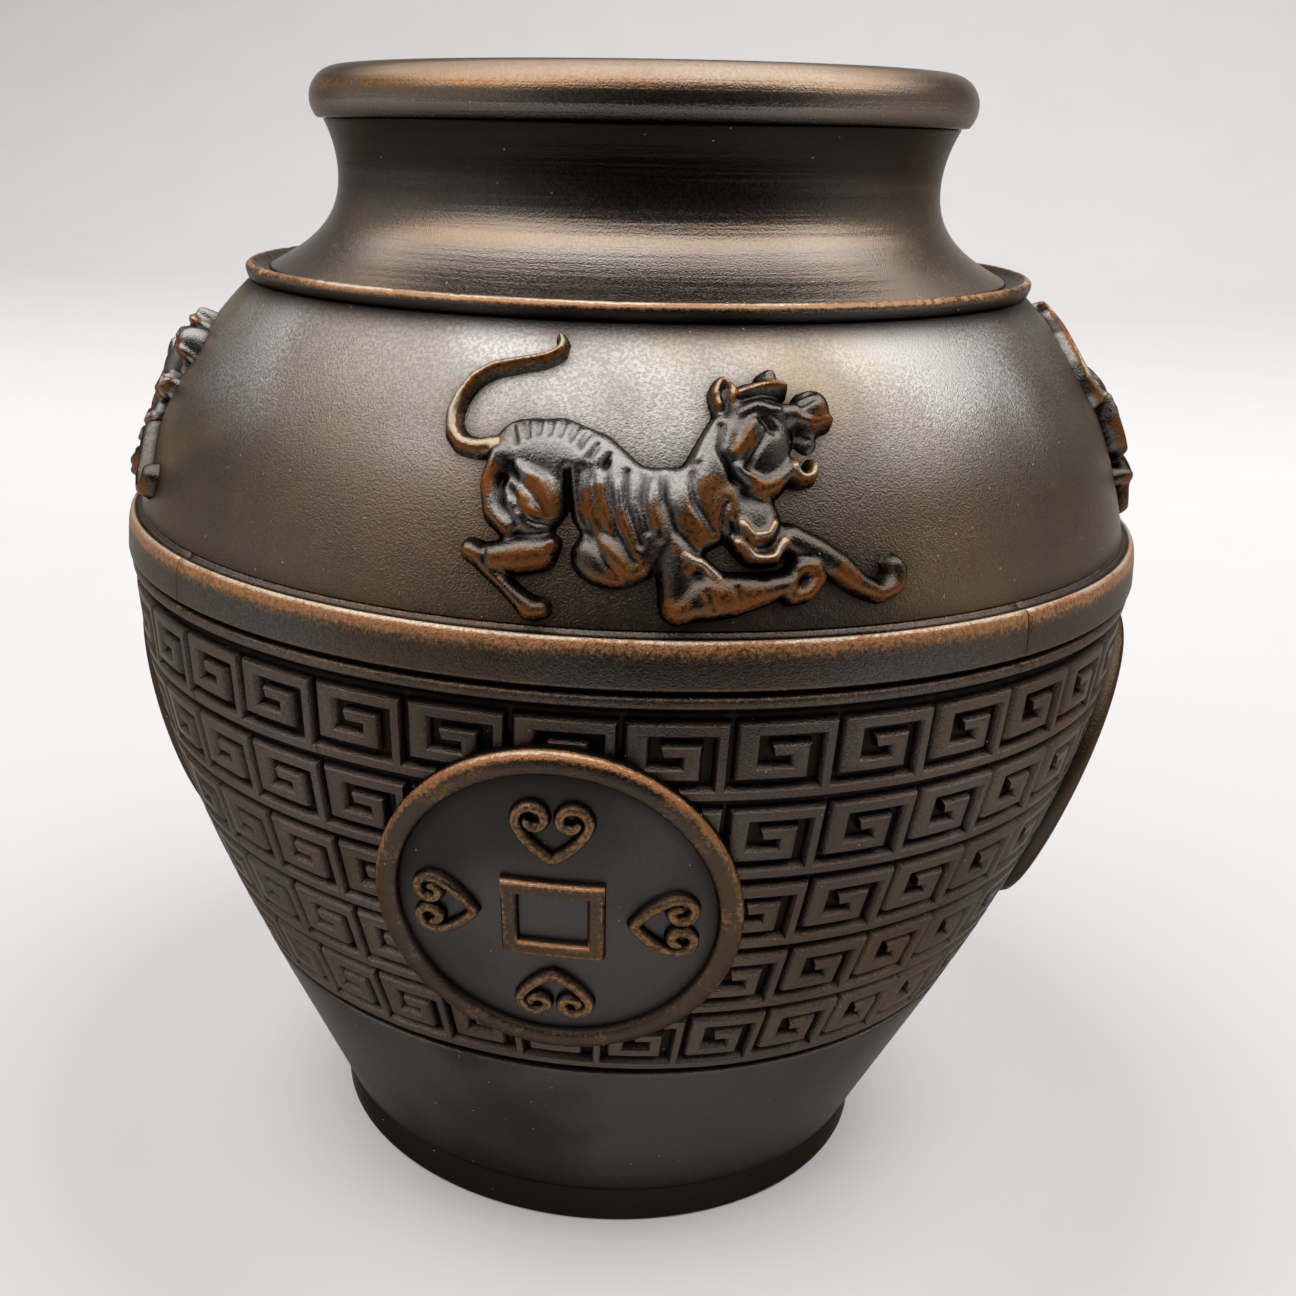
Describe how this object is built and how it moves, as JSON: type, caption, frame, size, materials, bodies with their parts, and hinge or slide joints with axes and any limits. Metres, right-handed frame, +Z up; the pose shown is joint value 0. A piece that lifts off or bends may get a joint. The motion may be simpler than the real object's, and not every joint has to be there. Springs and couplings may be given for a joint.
{
  "type": "copper jar",
  "caption": "Squat round jar of dark patinated copper with a beaded mouth, waisted neck, tigers in relief on the shoulder and key fret panels with coin medallions round the wall.",
  "frame": {"origin": "on the jar's axis at the bottom of the foot", "axes": "+Z up along the jar's axis, -Y towards the viewer at the middle of the front panel, +X to the viewer's right"},
  "size_m": [0.103, 0.103, 0.1093],
  "materials": {
    "patina_copper": "dark brown-black patina on copper, satin, with fine grain",
    "fret_copper": "brown patina on copper with dark grooves and rubbed edges",
    "worn_copper": "dark patina rubbed through to bright copper on the high spots"
  },
  "bodies": {
    "root": {"mouth_rim": "patina_copper", "neck": "patina_copper", "collar_ring": "patina_copper", "shoulder": "patina_copper", "wall_panel_1": "fret_copper", "wall_panel_2": "fret_copper", "wall_panel_3": "fret_copper", "wall_panel_4": "fret_copper", "lower_wall": "patina_copper", "foot_ring": "patina_copper", "base_plate": "patina_copper", "coin_plate_1": "patina_copper", "coin_plate_2": "patina_copper", "coin_plate_3": "patina_copper", "coin_plate_4": "patina_copper", "coin_rim_1": "worn_copper", "coin_rim_2": "worn_copper", "coin_rim_3": "worn_copper", "coin_rim_4": "worn_copper", "coin_frame_1": "worn_copper", "coin_frame_2": "worn_copper", "coin_frame_3": "worn_copper", "coin_frame_4": "worn_copper", "cloud_top_1": "worn_copper", "cloud_top_2": "worn_copper", "cloud_top_3": "worn_copper", "cloud_top_4": "worn_copper", "cloud_right_1": "worn_copper", "cloud_right_2": "worn_copper", "cloud_right_3": "worn_copper", "cloud_right_4": "worn_copper", "cloud_bottom_1": "worn_copper", "cloud_bottom_2": "worn_copper", "cloud_bottom_3": "worn_copper", "cloud_bottom_4": "worn_copper", "cloud_left_1": "worn_copper", "cloud_left_2": "worn_copper", "cloud_left_3": "worn_copper", "cloud_left_4": "worn_copper", "tiger_1": "worn_copper", "tiger_2": "worn_copper", "tiger_3": "worn_copper", "tiger_4": "worn_copper"}
  },
  "joints": []
}
